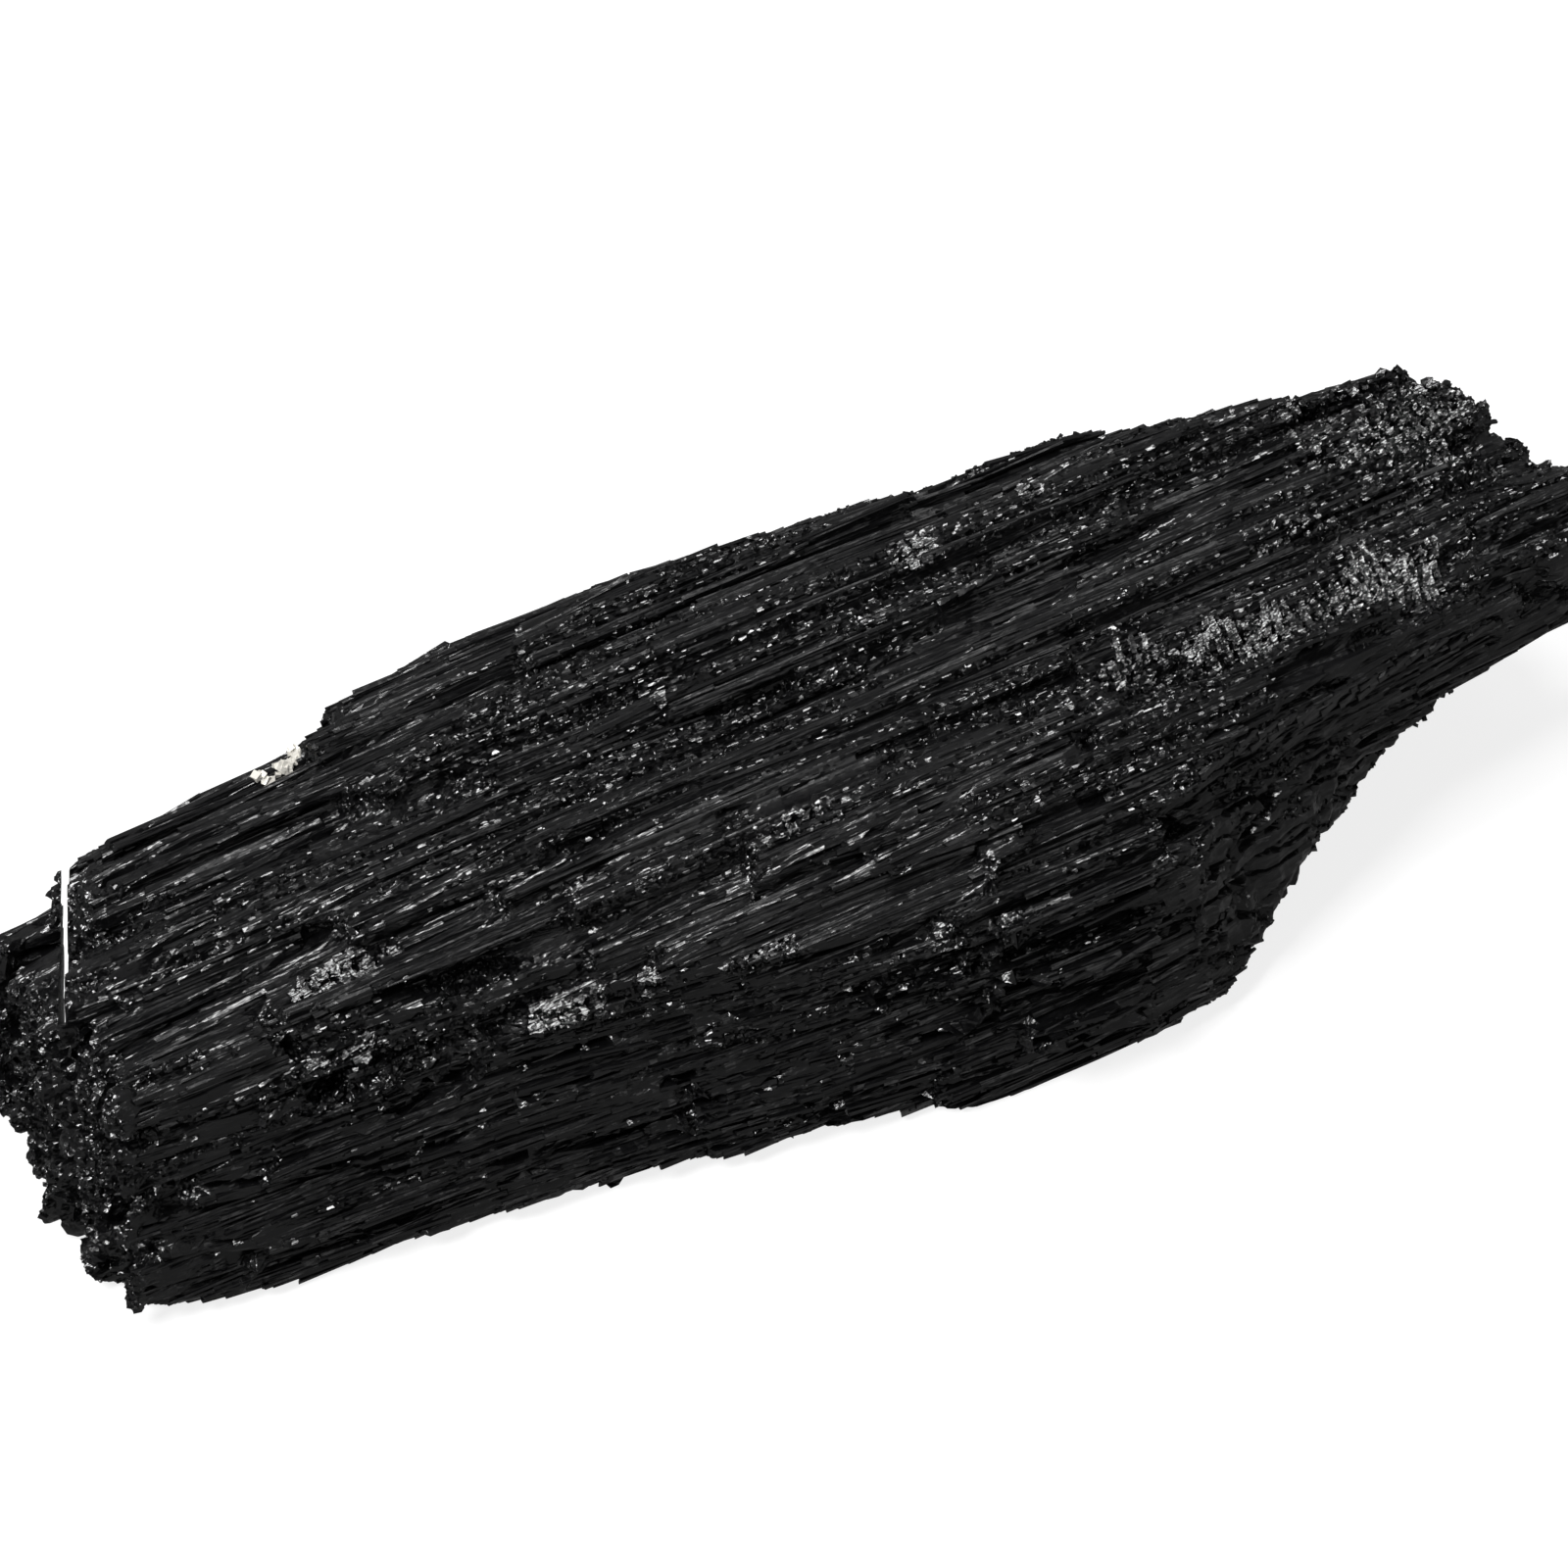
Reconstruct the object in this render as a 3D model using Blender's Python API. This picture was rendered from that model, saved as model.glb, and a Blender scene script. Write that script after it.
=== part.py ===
"""Black tourmaline (schorl): one broken log of crystal, about 111 mm long, lying on its flat underside.

The log is a bundle of parallel columns that grew together. Each column is a three-sided prism with blunted
corners, as tourmaline is, and all of them point the same way. The bundle fills an outer form, and where a
column stops short or has snapped out, it leaves a ledge, a groove or a broken step. Larger pieces have been
knocked out of the front, and a narrow cleft splits the back corner of the near end.

The shape is worked out in millimetres from the growth axis: +X along the columns, from the near, blunt end
to the far one, and +Z up. At the end it is moved so that the origin is at the middle of its footprint.
"""

import math
import random

import bmesh
import bpy
from mathutils import Matrix, Vector, noise

MM = 0.001
SEED = 10

# The eight directions, seen along the log, in which the outer form is measured from the growth axis.
OUTLINE_LEAN = math.radians(40.6)
DIRECTIONS = {
    "front": math.radians(180),
    "front_top": math.radians(128),
    "top": math.radians(90),
    "back_top": OUTLINE_LEAN,
    "back": math.radians(0),
    "back_bottom": math.radians(-45),
    "bottom": math.radians(-90),
    "front_bottom": math.radians(180) + OUTLINE_LEAN,
}

# Stations along the log: x, then how far the outer form reaches in each direction above, in millimetres.
STATIONS = (
    # x   front f_top  top b_top  back b_bot bottom f_bot
    (-8.0, 8.4, 11.4, 9.0, 13.4, 16.0, 19.6, 12.0, 11.6),
    (0.0, 9.2, 12.0, 9.6, 14.8, 16.6, 20.2, 12.0, 13.6),
    (7.0, 10.6, 12.6, 10.2, 15.6, 17.0, 20.6, 12.0, 14.9),
    (13.0, 11.3, 13.0, 10.8, 15.8, 17.2, 20.6, 12.0, 15.3),
    (18.0, 12.0, 13.6, 11.2, 16.4, 17.4, 20.6, 12.0, 15.9),
    (23.0, 12.6, 14.2, 11.6, 16.9, 17.4, 20.6, 12.0, 16.3),
    (24.5, 12.8, 14.4, 12.2, 18.2, 17.6, 20.6, 12.0, 16.6),
    (30.0, 14.0, 15.0, 12.6, 18.5, 17.8, 20.6, 12.0, 17.3),
    (36.0, 15.6, 15.6, 12.8, 18.8, 18.0, 20.6, 12.0, 18.5),
    (42.0, 16.8, 16.2, 12.8, 18.6, 18.0, 20.6, 12.0, 19.3),
    (48.0, 18.0, 16.8, 12.8, 18.2, 17.7, 20.3, 12.0, 20.1),
    (50.0, 19.2, 17.0, 12.8, 18.0, 17.6, 20.2, 12.0, 21.4),
    (55.0, 21.0, 17.6, 12.7, 17.4, 17.3, 20.0, 12.0, 22.8),
    (60.0, 21.6, 18.0, 12.6, 17.0, 17.0, 19.8, 12.0, 23.4),
    (63.5, 21.2, 18.0, 12.5, 16.7, 16.8, 19.6, 12.0, 23.0),
    (65.5, 20.6, 18.0, 12.4, 16.0, 16.6, 19.4, 12.0, 21.9),
    (72.0, 19.4, 17.6, 12.2, 16.2, 16.2, 18.6, 12.0, 20.9),
    (76.0, 17.6, 17.2, 12.0, 16.0, 15.8, 17.6, 11.2, 17.4),
    (80.0, 16.0, 16.8, 11.9, 15.1, 15.4, 16.4, 10.0, 15.2),
    (84.0, 14.6, 16.4, 11.8, 13.8, 15.0, 15.2, 8.6, 13.2),
    (88.0, 13.4, 15.8, 11.6, 13.0, 14.6, 14.0, 7.0, 10.1),
    (94.0, 12.6, 15.0, 11.2, 12.2, 14.0, 12.2, 5.2, 9.0),
    (101.0, 11.8, 14.2, 10.4, 11.2, 13.0, 10.4, 3.6, 8.0),
    (109.0, 10.8, 13.2, 9.0, 9.6, 12.0, 8.6, 2.4, 7.0),
)

# The heart is the part of the log where the columns have grown into one mass. It stays this far inside the
# outer form in each direction, and is nearly flush with it low on the front. At the ends it stops short.
HEART_INSET = {
    "front": 0.7,
    "front_top": 1.4,
    "top": 1.6,
    "back_top": 1.7,
    "back": 1.5,
    "back_bottom": 1.2,
    "bottom": 1.0,
    "front_bottom": 0.5,
}
HEART_BETWEEN = (13.0, 94.0)
HEART_EVERY = 2
HEART_SHORT = 2.0

# The columns stand on a grid with this spacing, each one nudged, turned and sized a little differently. Each
# keeps its middle inside the outer form by about its own radius, wandering a little, and none is a stub.
SPACING = 3.0
NUDGE = 0.6
COLUMN_RADIUS = (1.4, 2.8)
BLUNT_CORNER = 0.62
TWIST = math.radians(6.0)
COLUMN_COVER = 0.5
COLUMN_DEPTH = (-1.7, 0.3)
WANDER = 0.7
WANDER_LENGTH = 11.0
WANDER_ROWS = 100.0
SHORTEST = 7.0
STEP = 0.5

# The two ends are fractures across the bundle. The near one is broken away at the back shoulder, and the far
# one leans, so that the front is the longest. Each column is snapped a little short or long, at a slant.
NEAR_END = -3.2
NEAR_END_LEAN = (0.07, 0.05)
SHOULDER_FACING = (0.6, 0.8)
SHOULDER_START = 8.4
SHOULDER_SLOPE = 1.1
FAR_END = 102.8
FAR_END_LEAN = -0.255
END_ROUGH = 1.3
END_SLANT = 0.5

# What has been knocked out of the finished bundle: for each break, its section at two or more places along
# the log, as x and then the section's corners (y, z).
BREAKS = {
    "front_ledge": (
        (7.0, ((-6.4, 13.0), (-7.4, 8.4), (-9.0, 3.2), (-14.0, 2.4), (-14.0, 13.0))),
        (27.5, ((-10.6, 13.0), (-11.4, 9.0), (-12.8, 5.6), (-18.0, 5.0), (-18.0, 13.0))),
    ),
    "front_pit": (
        (12.5, ((-7.5, 1.6), (-8.6, -0.4), (-14.0, -0.6), (-14.0, 3.0), (-9.0, 3.4))),
        (19.5, ((-9.4, 3.0), (-10.2, 1.6), (-16.0, 1.6), (-16.0, 4.6), (-10.4, 4.4))),
    ),
    "top_groove": (
        (30.0, ((-0.2, 14.0), (-0.5, 11.4), (-1.8, 12.2), (-2.6, 14.0))),
        (53.5, ((-1.0, 14.0), (-1.6, 10.2), (-4.2, 11.6), (-4.6, 14.0))),
    ),
    "top_groove_beyond": (
        (52.5, ((0.2, 14.0), (-0.4, 11.0), (-2.4, 11.8), (-2.8, 14.0))),
        (75.0, ((0.0, 14.0), (-0.4, 10.8), (-2.0, 12.0), (-2.2, 14.0))),
    ),
    "sugary_trough": (
        (66.5, ((-3.6, 14.0), (-4.4, 10.2), (-12.4, 9.6), (-14.6, 14.0))),
        (95.5, ((-2.6, 14.0), (-4.6, 9.0), (-9.6, 8.4), (-12.4, 14.0))),
    ),
    "slab_step": (
        (69.0, ((-16.0, 11.0), (-16.6, 7.4), (-22.0, 7.0), (-22.0, 11.0))),
        (86.0, ((-13.2, 11.0), (-13.9, 6.2), (-20.0, 6.0), (-20.0, 11.0))),
    ),
    "slab_underside": (
        (65.5, ((-17.6, 7.6), (-18.0, 4.6), (-23.0, 4.0), (-23.0, 7.4))),
        (84.0, ((-13.0, 6.4), (-13.0, 2.6), (-20.0, 2.0), (-20.0, 6.4))),
    ),
    "shell_fracture": (
        (68.0, ((-18.4, 4.8), (-20.6, -12.6), (-24.0, -12.6), (-24.0, 4.4))),
        (75.0, ((-15.8, 4.0), (-17.6, -12.6), (-24.0, -12.6), (-24.0, 4.0))),
        (86.0, ((-12.8, 3.0), (-11.0, -10.0), (-24.0, -10.0), (-24.0, 3.0))),
    ),
    "back_ledge": (
        (34.0, ((15.6, 4.0), (15.0, -3.2), (22.0, -4.0), (22.0, 4.6))),
        (58.0, ((16.2, 3.0), (15.2, -2.0), (22.0, -2.6), (22.0, 3.6))),
    ),
    "back_step": (
        (76.0, ((13.0, 2.0), (12.4, -5.0), (20.0, -8.0), (20.0, 2.4))),
        (112.0, ((10.8, 1.0), (10.2, -4.0), (20.0, -8.0), (20.0, 1.4))),
    ),
}

# The cleft is a thin upright slot. Seen from above, it runs from the near end's face out through the back.
CLEFT_START = Vector((-6.2, -2.0))
CLEFT_END = Vector((8.2, 22.0))
CLEFT_WIDTH = (0.7, 0.4)
CLEFT_FLOOR = (11.5, -16.5)
CLEFT_TOP = 16.0


def reach_at(x):
    """The outer form's distances at x, as a dictionary by direction."""
    after = next((i for i, row in enumerate(STATIONS) if row[0] > x), len(STATIONS) - 1)
    after = max(after, 1)
    low, high = STATIONS[after - 1], STATIONS[after]
    share = min(max((x - low[0]) / (high[0] - low[0]), 0.0), 1.0)
    return {name: low[k + 1] + share * (high[k + 1] - low[k + 1]) for k, name in enumerate(DIRECTIONS)}


def depth_inside(x, y, z):
    """How far a point is inside the outer form. It is negative outside."""
    reach = reach_at(x)
    return min(reach[name] - y * math.cos(angle) - z * math.sin(angle) for name, angle in DIRECTIONS.items())


def form_section(x, inset):
    """The outer form's section at x: the corners where each direction's face meets the next one's."""
    reach = reach_at(x)
    names = list(DIRECTIONS)
    corners = []
    for here, after in zip(names, names[1:] + names[:1]):
        a, b = DIRECTIONS[here], DIRECTIONS[after]
        p, q = reach[here] - inset[here], reach[after] - inset[after]
        turn = math.sin(b - a)
        y = (p * math.sin(b) - q * math.sin(a)) / turn
        z = (q * math.cos(a) - p * math.cos(b)) / turn
        corners.append((x, y, z))
    return corners


def near_end(y, z):
    """Where the near fracture crosses a column at (y, z)."""
    shoulder = max(0.0, SHOULDER_FACING[0] * y + SHOULDER_FACING[1] * z - SHOULDER_START)
    return NEAR_END + NEAR_END_LEAN[0] * y + NEAR_END_LEAN[1] * z + SHOULDER_SLOPE * shoulder


def far_end(y):
    """Where the far fracture crosses a column at y."""
    return FAR_END + FAR_END_LEAN * y


def heart_rings():
    """The heart's sections, the first and last of them laid back from the two fractures."""
    low, high = HEART_BETWEEN
    near = [(near_end(y, z) + HEART_SHORT, y, z) for _, y, z in form_section(0.0, HEART_INSET)]
    far = [(far_end(y) - HEART_SHORT, y, z) for _, y, z in form_section(FAR_END, HEART_INSET)]
    places = [row[0] for row in STATIONS[::HEART_EVERY] if low <= row[0] <= high]
    between = [form_section(x, HEART_INSET) for x in places]
    return [near, *between, far]


def stretches(x_from, x_to, y, z, depth, phase):
    """The stretches along X in which a column at (y, z) is deep enough inside the outer form."""
    found = []
    start = None
    x = x_from
    while x <= x_to:
        drift = WANDER * noise.noise(Vector((x / WANDER_LENGTH, phase, 0.0)))
        there = depth_inside(x, y, z) > depth + drift and x + STEP <= x_to
        if there and start is None:
            start = x
        if not there and start is not None:
            if x - start > SHORTEST:
                found.append((start, x))
            start = None
        x += STEP
    return found


def body(name, rings, bent_ends=False):
    """A closed solid through rings of points in millimetres, each joined to the next, with its ends closed."""
    bm = bmesh.new()
    rings = [[bm.verts.new(Vector(point) * MM) for point in ring] for ring in rings]
    for ring, after in zip(rings, rings[1:]):
        for k in range(len(ring)):
            n = (k + 1) % len(ring)
            bm.faces.new((ring[k], ring[n], after[n], after[k]))
    ends = [bm.faces.new(rings[0]), bm.faces.new(rings[-1])]
    if bent_ends:
        bmesh.ops.triangulate(bm, faces=ends)
    bmesh.ops.recalc_face_normals(bm, faces=bm.faces)
    mesh = bpy.data.meshes.new(name)
    bm.to_mesh(mesh)
    bm.free()
    return bpy.data.objects.new(name, mesh)


def helpers(name, objects):
    """A hidden collection of bodies that only the Boolean modifiers use."""
    collection = bpy.data.collections.new(name)
    collection.hide_render = True
    bpy.context.scene.collection.children.link(collection)
    for obj in objects:
        obj.hide_render = True
        obj.display_type = "WIRE"
        collection.objects.link(obj)
    return collection


def combine(obj, operation, collection, solver="EXACT"):
    """A Boolean modifier with every body of a collection."""
    modifier = obj.modifiers.new(collection.name, "BOOLEAN")
    modifier.operation = operation
    modifier.solver = solver
    modifier.operand_type = "COLLECTION"
    modifier.collection = collection


def column(rng, x0, x1, y, z, radius, turn):
    """One prism: three broad faces and three narrow ones, with its two ends snapped at a slant."""
    rings = []
    for x in (x0, x1):
        slant_y = rng.uniform(-END_SLANT, END_SLANT)
        slant_z = rng.uniform(-END_SLANT, END_SLANT)
        ring = []
        for k in range(6):
            out = radius * (BLUNT_CORNER if k % 2 else 1.0)
            side = out * math.cos(math.radians(60 * k) + turn)
            up = out * math.sin(math.radians(60 * k) + turn)
            ring.append((x + slant_y * side + slant_z * up, y + side, z + up))
        rings.append(ring)
    return body("column", rings)


def all_columns():
    """Every column of the bundle."""
    rng = random.Random(SEED)
    row_height = SPACING * math.sqrt(0.75)
    widest = max(max(row[1:]) for row in STATIONS)
    count = math.ceil(widest / row_height)
    found = []
    for j in range(-count, count + 1):
        for i in range(-count, count + 1):
            y = (i + 0.5 * (j % 2)) * SPACING + rng.uniform(-NUDGE, NUDGE)
            z = j * row_height + rng.uniform(-NUDGE, NUDGE)
            radius = rng.uniform(*COLUMN_RADIUS)
            depth = COLUMN_COVER * radius + rng.uniform(*COLUMN_DEPTH)
            turn = rng.uniform(-TWIST, TWIST)
            x_from = near_end(y, z) + rng.uniform(-END_ROUGH, END_ROUGH)
            x_to = far_end(y) + rng.uniform(-END_ROUGH, END_ROUGH)
            phase = rng.uniform(0.0, WANDER_ROWS)
            for x0, x1 in stretches(x_from, x_to, y, z, depth, phase):
                found.append(column(rng, x0, x1, y, z, radius, turn))
    return found


def all_breaks():
    """Every piece that has been knocked out, and the cleft."""
    found = []
    for name, sections in BREAKS.items():
        found.append(body(name, [[(x, y, z) for y, z in corners] for x, corners in sections]))
    along = (CLEFT_END - CLEFT_START).normalized()
    across = Vector((-along.y, along.x))
    rings = []
    for place, floor in zip((CLEFT_START, CLEFT_END), CLEFT_FLOOR):
        low = across * CLEFT_WIDTH[0] / 2
        high = across * CLEFT_WIDTH[1] / 2
        bottom = [(*(place - low), floor), (*(place + low), floor)]
        top = [(*(place + high), CLEFT_TOP), (*(place - high), CLEFT_TOP)]
        rings.append(bottom + top)
    found.append(body("cleft", rings))
    return found


def keep_largest_piece(bm):
    """Drops the crumbs that touch nothing, and the skins of gaps sealed inside the bundle."""
    loose = set(bm.faces)
    pieces = []
    while loose:
        piece = []
        todo = [loose.pop()]
        while todo:
            face = todo.pop()
            piece.append(face)
            for edge in face.edges:
                for other in edge.link_faces:
                    if other in loose:
                        loose.remove(other)
                        todo.append(other)
        pieces.append(piece)
    pieces.sort(key=len)
    crumbs = [face for piece in pieces[:-1] for face in piece]
    bmesh.ops.delete(bm, geom=crumbs, context="FACES")


for obj in list(bpy.data.objects):
    bpy.data.objects.remove(obj)

bundle = body("bundle", heart_rings(), bent_ends=True)
outer_form = body("outer_form", [form_section(row[0], dict.fromkeys(DIRECTIONS, 0.0)) for row in STATIONS])
helpers("log", [bundle])
# The columns all cross one another, and the exact solver leaves such a union open.
combine(bundle, "UNION", helpers("columns", all_columns()), solver="MANIFOLD")
combine(bundle, "INTERSECT", helpers("outside", [outer_form]))
combine(bundle, "DIFFERENCE", helpers("breaks", all_breaks()))

# The finished log, in its own frame: the origin is at the middle of its footprint.
bm = bmesh.new()
bm.from_object(bundle, bpy.context.evaluated_depsgraph_get())
keep_largest_piece(bm)
low = Vector([min(v.co[k] for v in bm.verts) for k in range(3)])
high = Vector([max(v.co[k] for v in bm.verts) for k in range(3)])
bm.transform(Matrix.Translation((-(low.x + high.x) / 2, -(low.y + high.y) / 2, -low.z)))
mesh = bpy.data.meshes.new("crystal")
bm.to_mesh(mesh)
bm.free()
crystal = bpy.data.objects.new("crystal", mesh)
bpy.context.scene.collection.objects.link(crystal)

schorl = bpy.data.materials.new("schorl")
schorl.use_nodes = True
surface = schorl.node_tree.nodes["Principled BSDF"]
surface.inputs["Base Color"].default_value = (0.012, 0.012, 0.013, 1.0)
surface.inputs["Roughness"].default_value = 0.4
surface.inputs["Metallic"].default_value = 0.0
mesh.materials.append(schorl)
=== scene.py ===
"""Black tourmaline (schorl): the looks of one broken log of crystal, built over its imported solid."""

import math
import random

import bmesh
import bpy
import numpy as np
from mathutils import Matrix, Vector, noise
from mathutils.bvhtree import BVHTree


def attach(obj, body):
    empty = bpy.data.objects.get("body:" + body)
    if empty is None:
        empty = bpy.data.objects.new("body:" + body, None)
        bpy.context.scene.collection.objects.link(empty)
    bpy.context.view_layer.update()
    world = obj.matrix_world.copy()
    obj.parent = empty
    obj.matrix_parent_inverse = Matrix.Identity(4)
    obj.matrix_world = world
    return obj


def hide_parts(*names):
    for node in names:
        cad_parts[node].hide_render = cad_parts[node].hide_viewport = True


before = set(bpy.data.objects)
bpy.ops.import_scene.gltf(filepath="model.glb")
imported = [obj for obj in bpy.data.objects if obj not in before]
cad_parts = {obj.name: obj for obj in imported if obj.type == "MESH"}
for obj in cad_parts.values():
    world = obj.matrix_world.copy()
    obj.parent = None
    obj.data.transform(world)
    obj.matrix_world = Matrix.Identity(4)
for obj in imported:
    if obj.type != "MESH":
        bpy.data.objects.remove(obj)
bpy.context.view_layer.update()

# ---------------------------------------------------------------------------------------------------------
# The log. One solid mass of black tourmaline whose columns share their walls. Its sides are the columns'
# own faces, striated along their length, and its ends and broken places are granular fractures.
# ---------------------------------------------------------------------------------------------------------

MM = 0.001
# Corners closer together than this are one corner.
SAME = 0.001 * MM

# The skin is remade as a fine net, whose meshes are this wide. The log is squeezed to this share of its
# length meanwhile, so that they come out as much longer along the columns.
NET = 0.25 * MM
NET_SQUEEZE = 0.24
# Between these places along the log the columns' faces run on unbroken: the net is evened out along them,
# and this much across them. At each pass a vertex goes this share of the way to its neighbours.
EVEN_FROM = (-49.0, -45.0)
EVEN_TO = (46.0, 51.0)
EVEN_ROUNDS = 3
EVEN_PASSES = 16
EVEN_ACROSS = 0.06
EVEN_PACE = 0.7
# The broken ends are evened out a little all over.
END_PASSES = 14
# The front flank is one clean side, whose ridges run on along the log: they are averaged over this length,
# in a grid of this step along the log and up it, and keep this share of their own ups and downs.
FLANK_AVERAGE = 9.0
FLANK_GRID = np.array((1.0, 0.3))
FLANK_KEPT = 0.15
# The flank starts between these distances in front of the log's middle and ends between these heights and
# these places along the log. Its faces look forwards by this much, and what is broken there is calmer.
FLANK_OUT = (6.0, 9.0)
FLANK_TOP = (15.5, 18.0)
FLANK_END = (12.0, 15.0)
FLANK_FACING = (0.2, 0.5)
FLANK_CALM = 0.8
# The least weight that an average is divided by.
FLANK_LEAST = 0.001
# The columns' faces carry rounded ribs that run along them. As in each pattern here, a block of it has this
# length, width and height.
RIB_BLOCK = (30.0, 1.1, 1.1)
RIB_HEIGHT = 0.16
# Long narrow grooves part the columns: how long and how far apart they are, their half-width as a share of
# that, and their depth. Their floor takes this share of the half-width.
GROOVES = ((80.0, 3.4, 0.09, 1.0), (40.0, 1.6, 0.12, 0.55))
GROOVE_FLOOR = 0.3
# A face that looks along the log by this much is a fracture across the columns. It breaks into grains, this
# much as high as those of the sugary patches.
BREAK_FACING = (0.4, 0.75)
BREAK_GRAINS = 0.5
GRAIN_BLOCK = 0.8
GRAIN_HEIGHT = 0.3
# How far a grain's facet leans and how much higher or lower it lies than the next, and the stretches of its
# place that draw its lean and its height.
GRAIN_LEAN = 2.4
GRAIN_STEP = 0.5
LEAN_DRAWS = (31.0, 47.0, 71.0)
STEP_DRAW = 13.0
# The near end breaks into rough upright plates too: how many steps up or down there are between them at
# most, over which part of the way a step rises, and its height.
PLATE_BLOCK = (6.0, 2.2, 16.0)
PLATE_STEPS = 4.0
PLATE_RISE = (0.35, 0.65)
PLATE_HEIGHT = 0.7
# Rows of beads: the blocks of their rows and of the bands of rows, how far the bands are shifted, how much
# they count, how much more beaded it is with each millimetre above this level, and at what values of this
# pattern beads start and are everywhere.
BEAD_ROW = (9.0, 0.9, 0.9)
BEAD_BAND = (30.0, 5.0, 5.0)
BEAD_BAND_SHIFT = 5.0
BEAD_BAND_SHARE = 0.8
BEAD_RISE = 0.02
BEAD_LEVEL = 22.0
BEADED = (0.1, 0.35)

# Sugary patches, where the surface is all small broken grains: the middle, then half the length along the
# log and half the width across it, in millimetres.
SUGARY = {
    "trough_start": ((20.6, -6.5, 22.0), 3.0, 2.6),
    "trough": ((27.0, -7.5, 21.4), 5.5, 2.4),
    "trough_end": ((37.5, -7.0, 21.0), 5.5, 2.6),
    "recess": ((-37.6, -3.4, 21.2), 3.6, 1.2),
    "recess_low": ((-38.6, -7.0, 17.6), 3.6, 1.1),
    "front_patch": ((-25.3, -10.8, 17.4), 3.2, 1.7),
    "front_fleck": ((-19.5, -11.9, 18.2), 1.2, 0.9),
    "front_row": ((-12.5, -14.1, 18.7), 5.0, 0.8),
    "shoulder_row": ((-5.6, -8.8, 23.9), 3.5, 1.0),
    "edge_fleck": ((12.9, -14.4, 21.3), 1.2, 0.6),
    "top_fleck": ((-9.4, 4.2, 24.8), 1.0, 0.6),
    "back_patch": ((12.5, 7.9, 24.5), 2.2, 1.3),
    "back_fleck": ((21.2, 9.1, 24.2), 1.0, 0.7),
    "back_patch_far": ((36.0, -0.6, 22.0), 4.0, 1.4),
    "far_top": ((46.0, 6.0, 21.0), 6.5, 7.0),
}
# In the hollow where a shell of crystal was knocked off the front, the surface has low upright ripples. It
# has fewer grains than other fractures, and is smoother.
SHELL = {"shell": ((27.0, -14.0, 9.5), 11.0, 7.5)}
SHELL_BLOCK = (1.6, 1.6, 7.0)
SHELL_HEIGHT = 0.5
SHELL_CALM = 0.7
SHELL_SMOOTH = 0.8
# Smooth patches, where one face has split off clean.
SMOOTH = {
    "top_face": ((-4.4, -6.5, 23.9), 6.5, 3.0),
    "top_face_near": ((-14.6, -6.0, 23.8), 5.0, 1.8),
    "top_face_far": ((6.5, -7.5, 23.5), 3.5, 1.8),
    "bevel": ((28.0, -11.9, 21.3), 8.0, 1.4),
    "recess_wall": ((-34.0, -6.5, 19.5), 4.0, 0.9),
}
# The patches' edges are ragged: the size and the height of each raggedness, as a share of the patch, and
# where a patch starts to fade and ends.
PATCH_RAGGED = ((2.2, 0.4), (0.8, 0.25))
PATCH_EDGE = (0.75, 1.1)
# Deep splits between columns, and pockets where a column has dropped out: the points each one runs
# through, then its half-width and its depth.
SPLITS = {
    "recess_top": (((-43.6, -5.9, 21.9), (-35.7, -6.8, 21.3), (-31.5, -7.0, 20.7),
                    (-27.6, -7.8, 20.6)), 0.6, 1.4),
    "recess_end": (((-43.1, -3.3, 20.8), (-43.6, -5.9, 21.9), (-43.0, -6.8, 20.9), (-41.9, -6.4, 18.6),
                    (-40.0, -7.3, 16.9)), 0.45, 1.3),
    "pocket_near": (((-41.1, -7.3, 16.1), (-39.8, -7.6, 15.9)), 1.1, 2.2),
    "pocket_far": (((-35.8, -8.8, 16.0), (-34.4, -9.5, 16.1), (-31.2, -10.0, 16.0)), 0.8, 1.8),
    "long_near": (((-21.2, 2.9, 24.5), (-15.4, 2.8, 24.8), (-8.0, 2.9, 23.9), (-1.0, 2.5, 23.3),
                   (3.8, 0.8, 23.1)), 0.5, 1.4),
    "long_far": (((4.6, 2.0, 23.5), (13.2, 1.9, 23.5), (23.5, 2.0, 23.5)), 0.5, 1.2),
    "across": (((17.9, -2.4, 23.1), (15.2, -7.6, 23.7), (12.7, -12.4, 23.7)), 0.5, 0.9),
    "slab": (((20.0, -14.8, 19.3), (34.1, -12.6, 17.4), (41.9, -11.1, 17.3)), 0.4, 0.9),
}
# The splits' sides are ragged by this much in blocks of this size. A side starts and ends at these shares of
# the half-width, and nothing further out is split.
SPLIT_RAGGED = 0.5
SPLIT_BLOCK = 0.9
SPLIT_SIDE = (0.4, 1.6)
SPLIT_REACH = 2.0
# The cleft at the back corner of the near end is a thin upright slot: its two ends seen from above, its
# floor at each, its width at the floor and the top, and its top.
CLEFT_ENDS = ((-56.15, -0.2), (-41.75, 23.8))
CLEFT_FLOOR = (23.5, -4.5)
CLEFT_WIDTH = (0.7, 0.4)
CLEFT_TOP = 28.0

# Patches and proud columns are placed where they show from the front, and lie on the skin behind that place.
# The line of sight starts this far out.
FRONT = Vector((-0.364, -0.606, 0.707))
REACH = 60.0


def on_skin(skin, point):
    """The place on the skin, in millimetres, that is behind or before a point as seen from the front."""
    found = skin.ray_cast((Vector(point) + REACH * FRONT) * MM, -FRONT)[0]
    return Vector(point) if found is None else found / MM


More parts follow.
